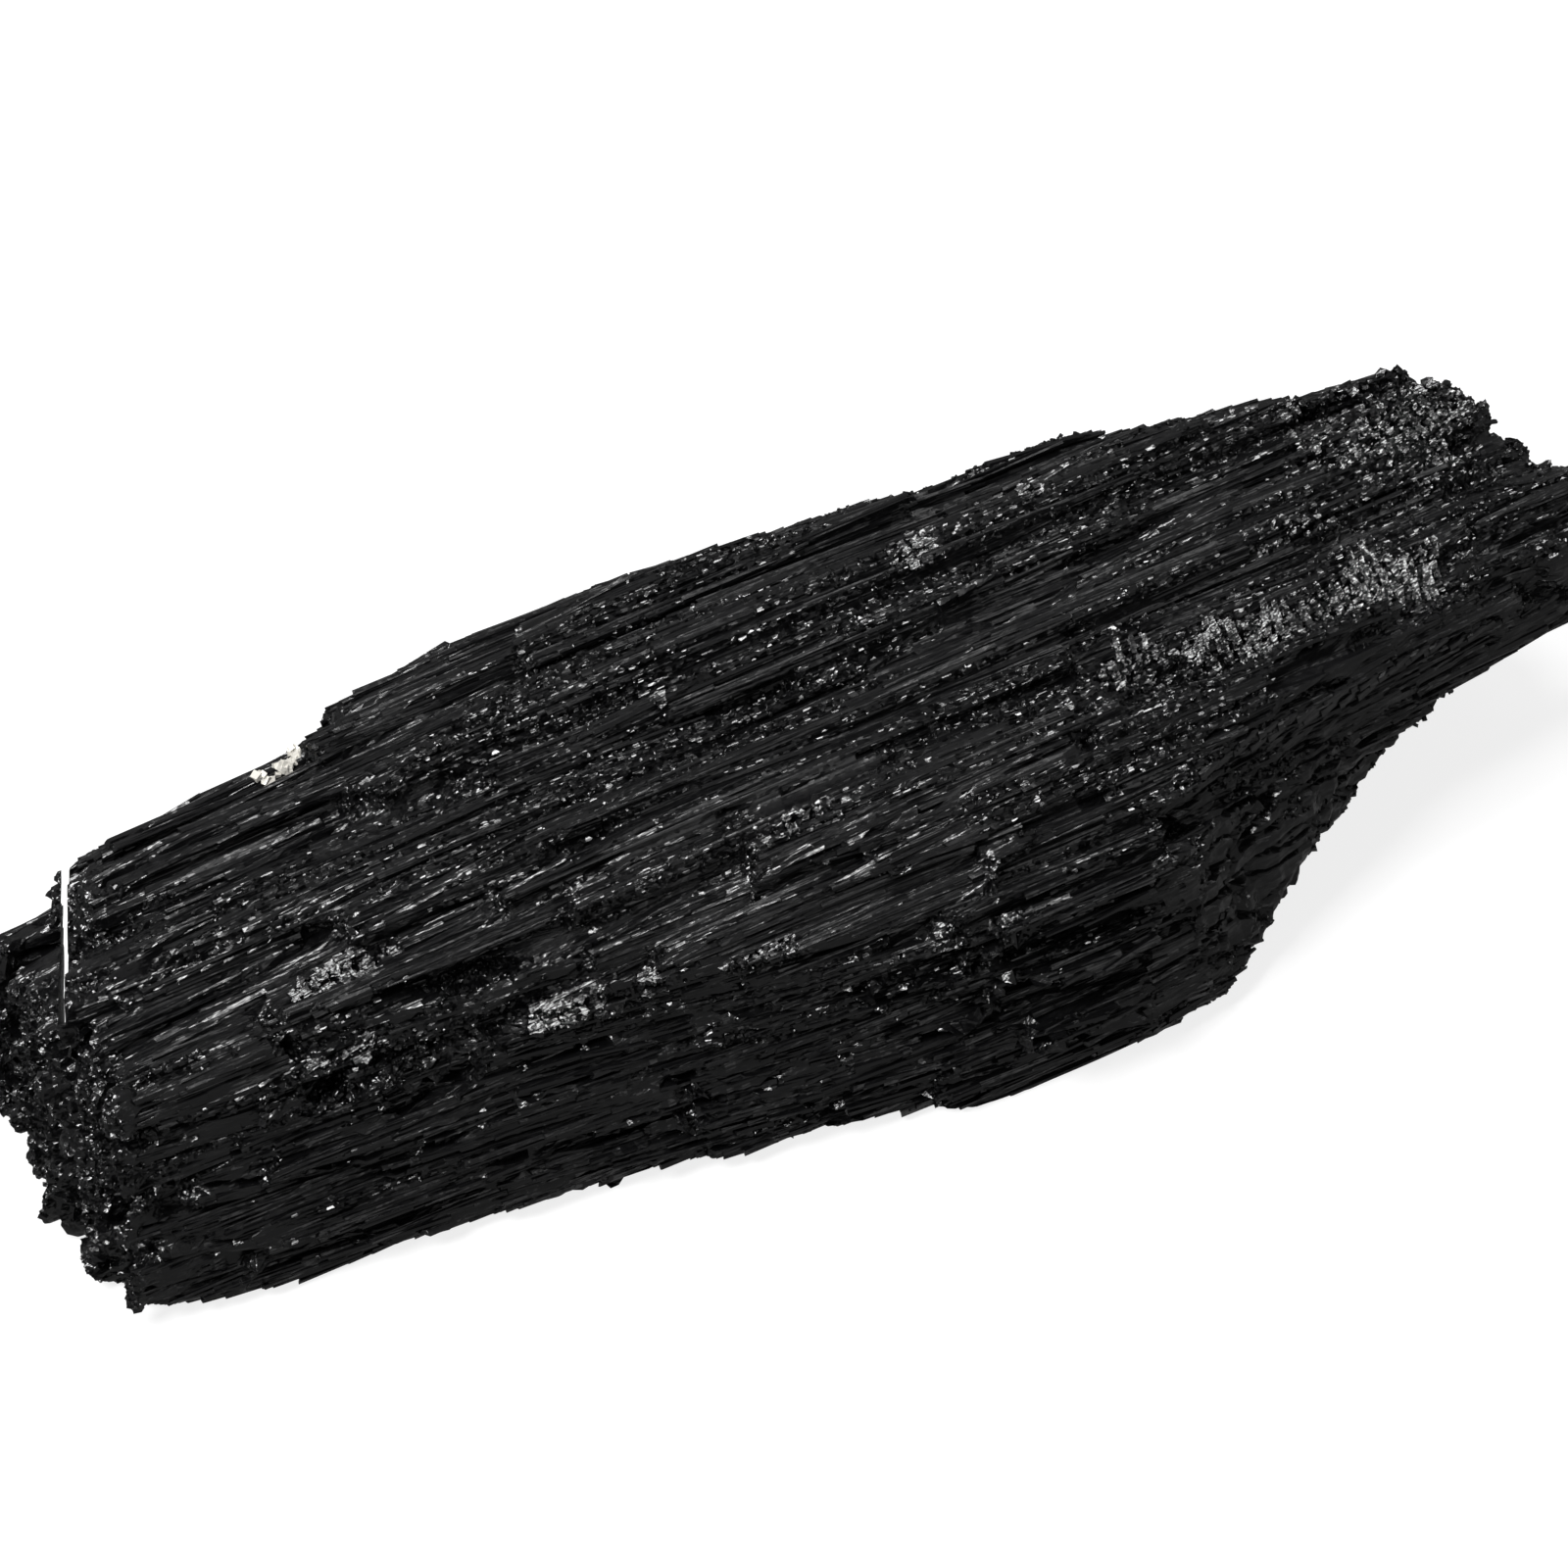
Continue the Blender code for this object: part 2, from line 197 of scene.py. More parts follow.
def skin_net(node):
    """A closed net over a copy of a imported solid, fine across the columns and coarser along them."""
    bm = bmesh.new()
    bm.from_mesh(node.data)
    bmesh.ops.remove_doubles(bm, verts=bm.verts, dist=SAME)
    bm.transform(Matrix.Diagonal((NET_SQUEEZE, 1.0, 1.0, 1.0)))
    mesh = bpy.data.meshes.new("net")
    bm.to_mesh(mesh)
    bm.free()
    net = bpy.data.objects.new("net", mesh)
    bpy.context.scene.collection.objects.link(net)
    remesh = net.modifiers.new("net", "REMESH")
    remesh.mode = "VOXEL"
    remesh.voxel_size = NET
    bm = bmesh.new()
    bm.from_object(net, bpy.context.evaluated_depsgraph_get())
    bpy.data.objects.remove(net)
    bm.transform(Matrix.Diagonal((1.0 / NET_SQUEEZE, 1.0, 1.0, 1.0)))
    bm.normal_update()
    return bm


def share(value, low, high):
    """How far value has come from low to high, from 0 to 1, easing in and out."""
    t = min(max((value - low) / (high - low), 0.0), 1.0)
    return t * t * (3.0 - 2.0 * t)


def even_out(bm, across, wanted, passes, axes):
    """Draws each vertex towards its neighbours, fully along the columns and in part across them."""
    bm.verts.index_update()
    spots = np.array([vert.co for vert in bm.verts])
    facing = np.abs(np.array([vert.normal.x for vert in bm.verts]))
    ends = np.array([[vert.index for vert in edge.verts] for edge in bm.edges])
    lines = spots[ends[:, 1]] - spots[ends[:, 0]]
    squares = np.maximum((lines ** 2).sum(axis=1), SAME ** 2)
    weights = np.maximum((lines[:, 0] ** 2 / squares) ** 2, facing[ends].mean(axis=1) ** 2)
    weights = np.maximum(weights, across)
    total = np.bincount(ends.ravel(), np.repeat(weights, 2), len(spots))
    much = np.array([wanted(vert.co / MM) for vert in bm.verts])
    for _ in range(passes):
        for axis in axes:
            pull = np.bincount(ends[:, 0], weights * spots[ends[:, 1], axis], len(spots))
            pull += np.bincount(ends[:, 1], weights * spots[ends[:, 0], axis], len(spots))
            spots[:, axis] += EVEN_PACE * much * (pull / total - spots[:, axis])
    for vert, spot in zip(bm.verts, spots):
        vert.co = spot
    bm.normal_update()


def unbroken(point):
    """How much of the columns' faces runs on unbroken at a point, from 0 to 1."""
    return share(point.x, *EVEN_FROM) * (1.0 - share(point.x, *EVEN_TO))


def broken_end(point):
    """How much a point belongs to a broken end, from 0 to 1."""
    return 1.0 - unbroken(point)


def front_flank(point):
    """How much a point belongs to the clean front flank, from 0 to 1."""
    below = share(-point.y, *FLANK_OUT) * (1.0 - share(point.z, *FLANK_TOP))
    return below * unbroken(point) * (1.0 - share(point.x, *FLANK_END))


def broken(point, normal):
    """How much the surface at a point is a break across the columns, from 0 to 1."""
    return share(abs(normal.x), *BREAK_FACING) * (1.0 - FLANK_CALM * front_flank(point))


def run_on(bm, wanted):
    """Draws out the ridges of a flank that faces -Y: each vertex moves to the average along its line."""
    spots = np.array([vert.co for vert in bm.verts]) / MM
    much = np.array([wanted(Vector(spot)) for spot in spots])
    much *= np.array([share(-vert.normal.y, *FLANK_FACING) for vert in bm.verts])
    moved = much > 0.0
    cells = np.floor(spots[moved][:, (0, 2)] / FLANK_GRID).astype(int)
    cells -= cells.min(axis=0)
    depth = np.zeros(cells.max(axis=0) + 1)
    count = np.zeros(depth.shape)
    np.add.at(depth, tuple(cells.T), spots[moved, 1])
    np.add.at(count, tuple(cells.T), 1.0)
    away = np.arange(-3 * FLANK_AVERAGE, 3 * FLANK_AVERAGE + 1) * FLANK_GRID[0]
    bell = np.exp(-0.5 * (away / FLANK_AVERAGE) ** 2)
    averages = []
    for line_depth, line_count in zip(depth.T, count.T):
        weight = np.maximum(np.convolve(line_count, bell, "same"), FLANK_LEAST)
        averages.append(np.convolve(line_depth, bell, "same") / weight)
    average = np.array(averages).T[tuple(cells.T)]
    spots[moved, 1] += (1.0 - FLANK_KEPT) * much[moved] * (average - spots[moved, 1])
    for vert, spot in zip(bm.verts, spots):
        vert.co = spot * MM
    bm.normal_update()


def on_patch(point, patches):
    """How much a point in millimetres belongs to the patches, from 0 to 1, with ragged edges."""
    ragged = sum(height * noise.noise(point / size) for size, height in PATCH_RAGGED)
    most = 0.0
    for middle, along, across in patches.values():
        off = point - Vector(middle)
        away = math.sqrt((off.x / along) ** 2 + (off.y ** 2 + off.z ** 2) / across ** 2)
        most = max(most, 1.0 - share(away + ragged, *PATCH_EDGE))
    return most


def in_split(point):
    """How deep the splits are at a point in millimetres, with ragged sides."""
    ragged = 1.0 + SPLIT_RAGGED * noise.noise(point / SPLIT_BLOCK)
    deepest = 0.0
    for points, half_width, depth in SPLITS.values():
        for start, end in zip(points, points[1:]):
            start, end = Vector(start), Vector(end)
            line = end - start
            t = min(max((point - start).dot(line) / line.length_squared, 0.0), 1.0)
            away = (point - start - t * line).length
            if away < SPLIT_REACH * half_width:
                side = [part * half_width for part in SPLIT_SIDE]
                deepest = max(deepest, depth * (1.0 - share(away * ragged, *side)))
    return deepest


def in_blocks(point, block, shift=0.0):
    """A point's place in a pattern whose blocks have these three sizes, shifted by some blocks along."""
    return Vector((point.x / block[0] + shift, point.y / block[1], point.z / block[2]))


def groove(point):
    """The depth of the long grooves at a point in millimetres: they are zero lines of drawn-out noises."""
    deepest = 0.0
    for length, apart, width, depth in GROOVES:
        line = noise.noise(in_blocks(point, (length, apart, apart), apart))
        deepest = max(deepest, depth * (1.0 - share(abs(line), GROOVE_FLOOR * width, width)))
    return deepest


def grain_height(point, size):
    """The height of broken grains at a point, from about -1 to 1: each grain is a small tilted facet."""
    middle = noise.voronoi(point / size)[1][0]
    lean = Vector([noise.cell(middle * draw) for draw in LEAN_DRAWS])
    lean = (lean - Vector((0.5, 0.5, 0.5))) * GRAIN_LEAN
    return (2.0 * noise.cell(middle * STEP_DRAW) - 1.0) * GRAIN_STEP + lean.dot(point / size - middle)


def beaded(point):
    """Where the striae are broken into rows of beads, from 0 to 1: more on the top than on the sides."""
    rows = noise.noise(in_blocks(point, BEAD_ROW))
    bands = noise.noise(in_blocks(point, BEAD_BAND, BEAD_BAND_SHIFT))
    return share(rows + BEAD_BAND_SHARE * bands + BEAD_RISE * (point.z - BEAD_LEVEL), *BEADED)


def cleft_line():
    """The cleft's two ends seen from above, and the direction across it."""
    near, far = (Vector(end) for end in CLEFT_ENDS)
    return near, far, Vector((near.y - far.y, far.x - near.x)).normalized()


def cleft_cutter():
    """A closed body with the room of the cleft."""
    near, far, across = cleft_line()
    bm = bmesh.new()
    bmesh.ops.create_cube(bm, size=2.0)
    for vert in bm.verts:
        at_far = vert.co.x > 0
        at_top = vert.co.z > 0
        side = math.copysign(1.0, vert.co.y)
        place = (far if at_far else near) + side * CLEFT_WIDTH[at_top] / 2 * across
        vert.co = (*place, CLEFT_TOP if at_top else CLEFT_FLOOR[at_far])
    bm.transform(Matrix.Scale(MM, 4))
    bmesh.ops.recalc_face_normals(bm, faces=bm.faces)
    mesh = bpy.data.meshes.new("cleft")
    bm.to_mesh(mesh)
    bm.free()
    cutter = bpy.data.objects.new("cleft", mesh)
    bpy.context.scene.collection.objects.link(cutter)
    return cutter


def flaps(bm):
    """The pairs of faces that the cut leaves back to back on the same corners."""
    sharing = {}
    for face in bm.faces:
        sharing.setdefault(frozenset(face.verts), []).append(face)
    return [face for faces in sharing.values() if len(faces) > 1 for face in faces]


def loose_crumbs(bm):
    """The vertices of everything that isn't joined to the largest body of a mesh."""
    bodies = []
    unseen = set(bm.verts)
    while unseen:
        body = [unseen.pop()]
        for vert in body:
            neighbours = {edge.other_vert(vert) for edge in vert.link_edges} & unseen
            unseen -= neighbours
            body.extend(neighbours)
        bodies.append(body)
    bodies.sort(key=len)
    return [vert for body in bodies[:-1] for vert in body]


bm = skin_net(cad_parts["crystal"])
even_out(bm, 1.0, broken_end, END_PASSES, (0, 1, 2))
for _ in range(EVEN_ROUNDS):
    even_out(bm, EVEN_ACROSS, unbroken, EVEN_PASSES, (1, 2))
run_on(bm, front_flank)
evened = BVHTree.FromBMesh(bm)
for patches in (SUGARY, SMOOTH):
    for name, (middle, along, across) in patches.items():
        patches[name] = (on_skin(evened, middle), along, across)
for vert in bm.verts:
    point = vert.co / MM
    shell = on_patch(point, SHELL)
    facing_along = share(abs(vert.normal.x), *BREAK_FACING)
    sugar = max(on_patch(point, SUGARY), BREAK_GRAINS * facing_along * (1.0 - SHELL_CALM * shell))
    sides = (1.0 - facing_along) * (1.0 - on_patch(point, SMOOTH) * (1.0 - sugar))
    height = RIB_HEIGHT * noise.noise(in_blocks(point, RIB_BLOCK)) * sides
    height -= groove(point) * sides
    height += GRAIN_HEIGHT * grain_height(point, GRAIN_BLOCK) * sugar
    height -= in_split(point)
    height += SHELL_HEIGHT * noise.noise(in_blocks(point, SHELL_BLOCK)) * shell
    if point.x < EVEN_FROM[1]:
        plate = PLATE_STEPS * noise.noise(in_blocks(point, PLATE_BLOCK))
        height += PLATE_HEIGHT * (math.floor(plate) + share(plate % 1.0, *PLATE_RISE)) * facing_along
    vert.co += vert.normal * height * MM
    vert.co.z = max(vert.co.z, 0.0)
mesh = bpy.data.meshes.new("log")
bm.to_mesh(mesh)
bm.free()
log = bpy.data.objects.new("log", mesh)
bpy.context.scene.collection.objects.link(log)
cutter = cleft_cutter()
cut = log.modifiers.new("cleft", "BOOLEAN")
cut.solver = "MANIFOLD"
cut.object = cutter
bm = bmesh.new()
bm.from_object(log, bpy.context.evaluated_depsgraph_get())
log.modifiers.clear()
bpy.data.objects.remove(cutter)
bmesh.ops.triangulate(bm, faces=[face for face in bm.faces if len(face.verts) > 4])
bmesh.ops.delete(bm, geom=flaps(bm), context="FACES")
bmesh.ops.delete(bm, geom=loose_crumbs(bm), context="VERTS")
bm.normal_update()
# The material reads from the mesh how sugary and how smooth each place is.
sugar_layer = bm.verts.layers.float.new("sugary")
smooth_layer = bm.verts.layers.float.new("smooth")
for vert in bm.verts:
    point = vert.co / MM
    shell = on_patch(point, SHELL)
    crumbly = max(broken(point, vert.normal), beaded(point) * (1.0 - on_patch(point, SMOOTH)))
    crumbly *= 1.0 - SHELL_SMOOTH * shell
    sugar = on_patch(point, SUGARY)
    vert[sugar_layer] = max(sugar, crumbly)
    vert[smooth_layer] = max(on_patch(point, SMOOTH) * (1.0 - sugar), SHELL_SMOOTH * shell)
skin = BVHTree.FromBMesh(bm)
facets = [(face.calc_center_median(), face.normal.copy(), face.calc_area()) for face in bm.faces]
bm.to_mesh(mesh)
bm.free()
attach(log, "root")
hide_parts("crystal")


def linear(hex_colour):
    """An sRGB hex colour as the linear colour that shaders take."""
    parts = [int(hex_colour[i:i + 2], 16) / 255 for i in (1, 3, 5)]
    return (*[c / 12.92 if c <= 0.04045 else ((c + 0.055) / 1.055) ** 2.4 for c in parts], 1.0)


def add(tree, kind, links=None, **settings):
    """Adds a node. Its settings are properties or values of its inputs, and links feed inputs by name."""
    node = tree.nodes.new(kind)
    for name, value in settings.items():
        if hasattr(node, name):
            setattr(node, name, value)
        else:
            node.inputs[name.replace("_", " ")].default_value = value
    for name, output in (links or {}).items():
        tree.links.new(output, node.inputs[name])
    return node


def blocks_per_metre(along, across):
    """The scale of a pattern whose blocks have these sizes in millimetres along and across the log."""
    return 1 / (along * MM), 1 / (across * MM), 1 / (across * MM)


# Schorl: iron-rich tourmaline, black in any thickness, with a glassy to satin lustre. The striae are finer
# than the skin's net, so they are in the bump too. Where it is broken, each crumb is a small tilted facet.
# A stria and a crumb are about this long and wide, in millimetres, and the striae are this deep.
STRIA = (6.0, 0.42)
STRIA_DEPTH = 0.16
CRUMB = (0.4, 0.25)
schorl = bpy.data.materials.new("schorl")
schorl.use_nodes = True
tree = schorl.node_tree
surface = tree.nodes["Principled BSDF"]
quartz = add(tree, "ShaderNodeAttribute", attribute_name="quartz").outputs["Fac"]
tint = add(tree, "ShaderNodeMixRGB", {"Fac": quartz}, Color1=linear("#0b0b0c"), Color2=linear("#cfccc4"))
tree.links.new(tint.outputs["Color"], surface.inputs["Base Color"])
surface.inputs["IOR"].default_value = 1.63
place = add(tree, "ShaderNodeTexCoord").outputs["Object"]
sugary = add(tree, "ShaderNodeAttribute", attribute_name="sugary").outputs["Fac"]
smooth = add(tree, "ShaderNodeAttribute", attribute_name="smooth").outputs["Fac"]
stria_place = add(tree, "ShaderNodeMapping", {"Vector": place}, Scale=blocks_per_metre(*STRIA))
striae = add(tree, "ShaderNodeTexNoise", {"Vector": stria_place.outputs["Vector"]}, Scale=1.0, Detail=2.0,
             Roughness=0.6)
stria_depth = add(tree, "ShaderNodeMapRange", {"Value": smooth}, To_Min=0.8, To_Max=0.15)
stria_bump = add(tree, "ShaderNodeBump", {"Height": striae.outputs["Fac"],
                                          "Strength": stria_depth.outputs["Result"]},
                 Distance=STRIA_DEPTH * MM)
# Each crumb's own colour leans its facet: hardly on the columns' faces, and up to 1.5 where it is sugary.
crumb_place = add(tree, "ShaderNodeMapping", {"Vector": place}, Scale=blocks_per_metre(*CRUMB))
crumbs = add(tree, "ShaderNodeTexVoronoi", {"Vector": crumb_place.outputs["Vector"]}, Scale=1.0)
lean = add(tree, "ShaderNodeVectorMath", {0: crumbs.outputs["Color"]}, operation="SUBTRACT")
lean.inputs[1].default_value = (0.5, 0.5, 0.5)
how_far = add(tree, "ShaderNodeMapRange", {"Value": sugary}, To_Min=0.14, To_Max=1.5)
leaning = add(tree, "ShaderNodeVectorMath", {0: lean.outputs["Vector"], "Scale": how_far.outputs["Result"]},
              operation="SCALE")
facet = add(tree, "ShaderNodeVectorMath", {0: stria_bump.outputs["Normal"], 1: leaning.outputs["Vector"]},
            operation="ADD")
facet = add(tree, "ShaderNodeVectorMath", {0: facet.outputs["Vector"]}, operation="NORMALIZE")
tree.links.new(facet.outputs["Vector"], surface.inputs["Normal"])
surface.inputs["Roughness"].default_value = 0.25
mesh.materials.append(schorl)

# ---------------------------------------------------------------------------------------------------------
# Fine columns. The faces of the log are made of thin parallel prisms of the same black tourmaline, sunk in
# it to about their middles, and each one is snapped off somewhere along the log.
# ---------------------------------------------------------------------------------------------------------

rng = random.Random(7)

# How many there are, their radius and length. Each is snapped off at some share of its full length.
FINE_COLUMNS = 11000
FINE_RADIUS = (0.13, 0.3)
FINE_LENGTH = (4.0, 34.0)
FINE_SNAPPED = (0.3, 1.0)
# They stand on faces that look along the log less than this. Each grows both ways in steps of this length,
# until the nearest skin, which is sought this far around, is more than this far off.
FINE_FACING = 0.35
FINE_STEP = 0.8
FINE_LOOK = 1.5
FINE_OFF = 0.22
# Each is sunk in by a share of its radius and sheared by up to this much. None starts in a patch or a split
# that is more marked than this.
FINE_SUNK = (0.35, 0.9)
FINE_SHEAR = 0.6
FINE_CLEAR = 0.4
# A fine column follows the slope of the log as it is this far each way, unless that leans more than this off
# the log's length.
FINE_SIGHT = 5.0
FINE_ALONG = 0.96
# The radius of its thinner end, as a share of the other's.
FINE_THIN_END = 0.45
# The columns and grains keep clear of the cleft, up to this far past its end.
CLEFT_PAST = 1.0


def cleft_side(point):
    """Which side of the cleft's middle plane a point in millimetres is on, and how far."""
    near, _, across = cleft_line()
    return (point.xy - near).dot(across)


def by_cleft(point):
    """Whether a point is along the cleft."""
    return CLEFT_ENDS[0][1] < point.y < CLEFT_ENDS[1][1] and point.x < CLEFT_ENDS[1][0] + CLEFT_PAST


def near_cleft(point, distance):
    """Whether a point is less than this far from the cleft's middle plane."""
    return by_cleft(point) and abs(cleft_side(point)) < distance


def over_cleft(point, start):
    """Whether the cleft is between a point and the start of its column."""
    return by_cleft(point) and cleft_side(point) * cleft_side(start) < 0.0


areas = np.cumsum([area for _, _, area in facets])


def any_facet():
    """The middle and normal of some facet of the log, picked by its area."""
    picked = int(np.searchsorted(areas, rng.uniform(0.0, areas[-1])))
    return facets[picked][:2]


def joined(name, form, places, layers):
    """One piece with a copy of a form at each place. layers has each copy's value of each attribute."""
    form.verts.index_update()
    corners = np.array([(*vert.co, 1.0) for vert in form.verts])
    faces = np.array([[vert.index for vert in face.verts] for face in form.faces])
    verts = np.einsum("nij,vj->nvi", np.array(places), corners)[:, :, :3].reshape(-1, 3)
    first = np.arange(len(places)) * len(corners)
    tris = (faces[None, :, :] + first[:, None, None]).reshape(-1, 3)
    mesh = bpy.data.meshes.new(name)
    mesh.from_pydata(verts, [], tris)
    for layer, values in layers.items():
        attribute = mesh.attributes.new(layer, "FLOAT", "POINT")
        attribute.data.foreach_set("value", np.repeat(values, len(corners)))
    form.free()
    piece = bpy.data.objects.new(name, mesh)
    bpy.context.scene.collection.objects.link(piece)
    return piece


def prism():
    """A column of length and radius 1 along X: five faces, and a thinner end that dies out in the log."""
    bm = bmesh.new()
    bmesh.ops.create_cone(bm, segments=5, radius1=1.0, radius2=FINE_THIN_END, depth=1.0,
                          cap_ends=True)
    bm.transform(Matrix.Rotation(math.pi / 2, 4, "Y"))
    bmesh.ops.triangulate(bm, faces=bm.faces)
    return bm


places = []
beads = []
while len(places) < FINE_COLUMNS:
    middle, normal = any_facet()
    if abs(normal.x) > FINE_FACING:
        continue
    length = rng.uniform(*FINE_LENGTH) * rng.uniform(*FINE_SNAPPED)
    sight = Vector((FINE_SIGHT * MM, 0.0, 0.0))
    before, after = skin.find_nearest(middle - sight)[0], skin.find_nearest(middle + sight)[0]
    along = (after - before).normalized()
    if along.x < FINE_ALONG:
        along = Vector((1.0, 0.0, 0.0))
    ends = []
    for way in (-1.0, 1.0):
        end = 0.0
        while end < length / 2:
            spot = middle + way * (end + FINE_STEP) * MM * along
            near = skin.find_nearest(spot, FINE_LOOK * MM)[0]
            if near is None or (near - spot).length > FINE_OFF * MM:
                break
            if over_cleft(spot / MM, middle / MM) or near_cleft(spot / MM, CLEFT_WIDTH[0]):
                break
            end += FINE_STEP
        ends.append(end)
    if ends[0] + ends[1] < FINE_LENGTH[0]:
        continue
    radius = rng.uniform(*FINE_RADIUS)
    spot = middle / MM
    marks = [on_patch(spot, patches) for patches in (SMOOTH, SUGARY, SHELL)]
    if max(*marks, in_split(spot)) > FINE_CLEAR or near_cleft(spot, radius + CLEFT_WIDTH[0] / 2):
        continue
    centre = middle - normal * radius * rng.uniform(*FINE_SUNK) * MM
    centre += (ends[1] - ends[0]) / 2 * MM * along
    if centre.z < (radius + abs(along.z) * (ends[0] + ends[1]) / 2) * MM:
        continue
    turn = along.to_track_quat("X", "Z").to_matrix().to_4x4()
    turn = turn @ Matrix.Rotation(rng.uniform(-math.pi, math.pi), 4, "X")
    turn = turn @ Matrix.Rotation(rng.choice((0.0, math.pi)), 4, "Z")
    shear = Matrix.Identity(4)
    shear[0][1] = rng.uniform(-FINE_SHEAR, FINE_SHEAR)
    shear[0][2] = rng.uniform(-FINE_SHEAR, FINE_SHEAR)
    size = Matrix.Diagonal(((ends[0] + ends[1]) * MM, radius * MM, radius * MM, 1.0))
    places.append(Matrix.Translation(centre) @ shear @ turn @ size)
    beads.append(beaded(spot))
fine = joined("fine_columns", prism(), places, {"sugary": beads})
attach(fine, "root")
fine.data.materials.append(schorl)

# ---------------------------------------------------------------------------------------------------------
# Proud columns. A few single columns of the same tourmaline stand clear of their neighbours. Each one has
# grown in short steps, whose faces look the same way as the crystal's other broken faces.
# ---------------------------------------------------------------------------------------------------------

# Their two ends, then how wide they are.
PROUD = {
    "bar": ((10.6, 2.6, 24.6), (15.0, 3.0, 24.4), 0.75),
    "shoulder_bar": ((-46.2, 2.8, 21.95), (-39.9, 1.6, 22.5), 0.6),
    "shoulder_line": ((-48.5, 1.0, 21.6), (-40.5, 0.2, 22.3), 0.3),
    "front_line": ((-47.5, -7.4, 18.6), (-42.6, -7.4, 19.4), 0.35),
    "front_line_low": ((-45.8, -8.6, 17.3), (-42.2, -8.4, 17.9), 0.4),
    "slab_top": ((19.6, -14.7, 19.45), (34.0, -13.0, 18.6), 0.7),
    "slab_top_far": ((23.0, -14.1, 20.1), (41.5, -11.4, 18.0), 0.6),
    "slab_edge": ((30.0, -13.2, 19.4), (49.5, -10.5, 16.6), 0.5),
}
# Most broken faces of this one crystal look this way, so they glint together.
GLINT = Vector((-0.2, -0.26, 0.94))
# A step is about this long, and tipped until its face glints. It lies this share of its width above the
# skin, and as high again as the fine columns around it.
PROUD_STEP = 1.6
PROUD_LIFT = 0.3
FINE_HIGH = 0.1
PROUD_SMOOTH = 0.6
# A step's top and its far end have these shares of its width, and that end dips by this share of its height.
# Its edges longer than this are cut, and the corners moved by up to this much.
STEP_TOP = 0.6
STEP_END = 0.4
STEP_DIP = 0.3
STEP_EDGE = 0.95
STEP_ROUGH = 0.08


def step_block():
    """A flat block of length, width and height 1 along X, narrower on top, whose far end dies out."""
    bm = bmesh.new()
    bmesh.ops.create_cube(bm, size=1.0)
    for vert in bm.verts:
        if vert.co.z > 0:
            vert.co.y *= STEP_TOP
        if vert.co.x > 0:
            vert.co.y *= STEP_END
            vert.co.z -= STEP_DIP
    long_edges = [edge for edge in bm.edges if edge.calc_length() > STEP_EDGE]
    bmesh.ops.subdivide_edges(bm, edges=long_edges, cuts=3)
    for vert in bm.verts:
        vert.co.yz += Vector([rng.uniform(-STEP_ROUGH, STEP_ROUGH) for _ in range(2)])
    bmesh.ops.triangulate(bm, faces=bm.faces)
    return bm


places = []
for start, end, width in PROUD.values():
    start, end = on_skin(skin, start), on_skin(skin, end)
    steps = round((end - start).length / PROUD_STEP)
    side = GLINT.cross(end - start).normalized()
    turn = Matrix((side.cross(GLINT).normalized(), side, GLINT.normalized())).transposed().to_4x4()
    size = Matrix.Diagonal(((end - start).length / steps * MM, width * MM, width * MM, 1.0))
    for step in range(steps):
        middle = skin.find_nearest(start.lerp(end, (step + 0.5) / steps) * MM)[0]
        middle += (PROUD_LIFT * width + FINE_HIGH) * GLINT * MM
        places.append(Matrix.Translation(middle) @ turn @ size)
proud = joined("proud_columns", step_block(), places, {"smooth": np.full(len(places), PROUD_SMOOTH)})
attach(proud, "root")
proud.data.materials.append(schorl)

# ---------------------------------------------------------------------------------------------------------
# Grains. Where the log is broken, its surface is a crust of small grains of the same black tourmaline. Their
# bright cleaved faces mostly look one way. A few pale grains of quartz have grown on the back edge.
# ---------------------------------------------------------------------------------------------------------

GRAINS = 15000
# A grain's half-length, how much slimmer it is the other ways, how deep it is sunk and how far its corners
# reach, as shares of that half-length.
GRAIN_RADIUS = (0.1, 0.32)
GRAIN_SLIM = (0.6, 1.0)
GRAIN_SUNK = 0.4
GRAIN_CORNER = 1.8
# A place that is this much on a patch, or on a bright patch, counts as on it.
ON_PATCH = 0.5
ON_BRIGHT = 0.4
# In the brightest patches every grain looks the same way but for this spread, and is larger.
BRIGHT = {name: SUGARY[name] for name in ("recess", "recess_low", "front_patch", "front_fleck", "edge_fleck",
                                          "top_fleck", "back_patch", "back_fleck")}
BRIGHT_SPREAD = 0.07
BRIGHT_LARGER = 1.3
# In other patches this share of the grains do, but for this spread, and so they do on the near end.
ALIKE = 0.7
ALIKE_SPREAD = 0.09
END_ALIKE = 0.75
END_SPREAD = 0.2
# Such a grain's faces are cleaner than a broken crumb's, which are at 1.
ALIKE_ROUGH = 0.15
# In some patches this share of the grains are long ripples that lie about this way, across the columns. They
# come in clusters of this size with gaps between them, and rock to and fro.
RIPPLED = {name: SUGARY[name] for name in ("trough_start", "trough", "trough_end")}
RIPPLES = 0.8
RIPPLE_CLUSTER = 3.0
RIPPLE_GAP = 0.15
RIPPLE_WAY = Vector((-0.26, -0.96, 0.0))
RIPPLE_WAY_SPREAD = 0.15
RIPPLE_ROCK = 0.15
RIPPLE_SPREAD = 0.08
RIPPLE_LONG = 3.0
RIPPLE_WIDE = 0.7
# A crust of pale quartz has stuck to the back edge: the points that it runs through, how many grains it has,
# how far they stray, their half-size, how flat they are and how far they lean.
QUARTZ = ((-29.8, 15.0, 21.7), (-31.0, 14.3, 21.9), (-31.8, 14.1, 21.2), (-32.6, 14.1, 21.1),
          (-33.2, 14.3, 21.7))
QUARTZ_GRAINS = 60
QUARTZ_SPREAD = 0.14
QUARTZ_RADIUS = (0.15, 0.35)
QUARTZ_FLAT = 0.6
QUARTZ_LEAN = 0.3
